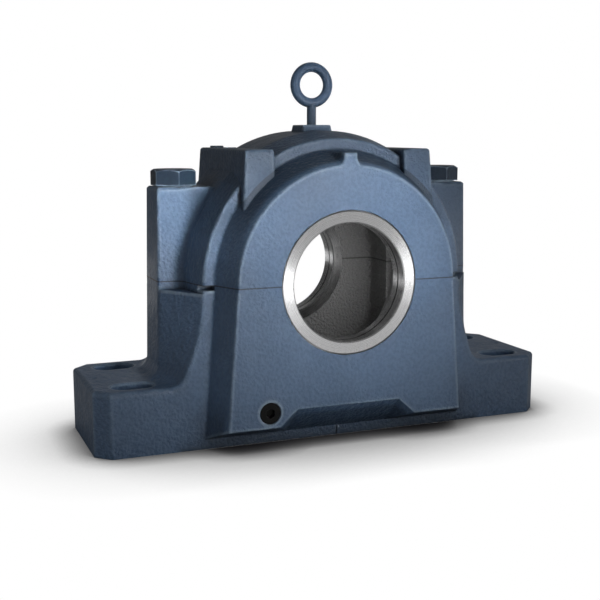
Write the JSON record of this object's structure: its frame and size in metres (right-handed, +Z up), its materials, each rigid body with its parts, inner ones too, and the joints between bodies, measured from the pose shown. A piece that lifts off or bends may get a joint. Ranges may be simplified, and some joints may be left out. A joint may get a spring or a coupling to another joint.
{
  "type": "split plummer block housing",
  "caption": "Split cast plummer block housing with cap, lifting eye, drain plug, slotted foot and steel labyrinth seal rings.",
  "frame": {"origin": "centre of the base face, under the middle of the housing", "axes": "+X along the base, +Y along the shaft axis from the front seal (the one with the drain plug under it) to the rear seal, +Z up"},
  "size_m": [0.67, 0.275, 0.515],
  "materials": {
    "housing_paint": "blue-grey paint on sand-cast iron, fine orange-peel texture",
    "painted_fastener": "the same blue-grey paint on forged steel",
    "ring_steel": "turned bright steel",
    "plain_steel": "ground steel",
    "black_plug": "blackened steel",
    "cord_rubber": "matt black rubber"
  },
  "bodies": {
    "housing": {"base_casting": "housing_paint", "cap_casting": "housing_paint", "left_cap_bolt": "painted_fastener", "right_cap_bolt": "painted_fastener", "front_dowel_pin": "plain_steel", "rear_dowel_pin": "plain_steel", "eyebolt": "painted_fastener", "drain_plug": "black_plug", "middle_grease_plug": "painted_fastener", "rear_grease_plug": "painted_fastener"},
    "front_ring": {"front_labyrinth_ring": "ring_steel", "front_ring_cord": "cord_rubber"},
    "rear_ring": {"rear_labyrinth_ring": "ring_steel", "rear_ring_cord": "cord_rubber"}
  },
  "joints": [
    {"name": "front_ring_spin", "type": "hinge", "parent": "housing", "child": "front_ring", "pos_m": [0, -0.12, 0.22], "axis": [0, 1, 0], "continuous": true},
    {"name": "rear_ring_spin", "type": "hinge", "parent": "housing", "child": "rear_ring", "pos_m": [0, 0.12, 0.22], "axis": [0, 1, 0], "continuous": true}
  ]
}
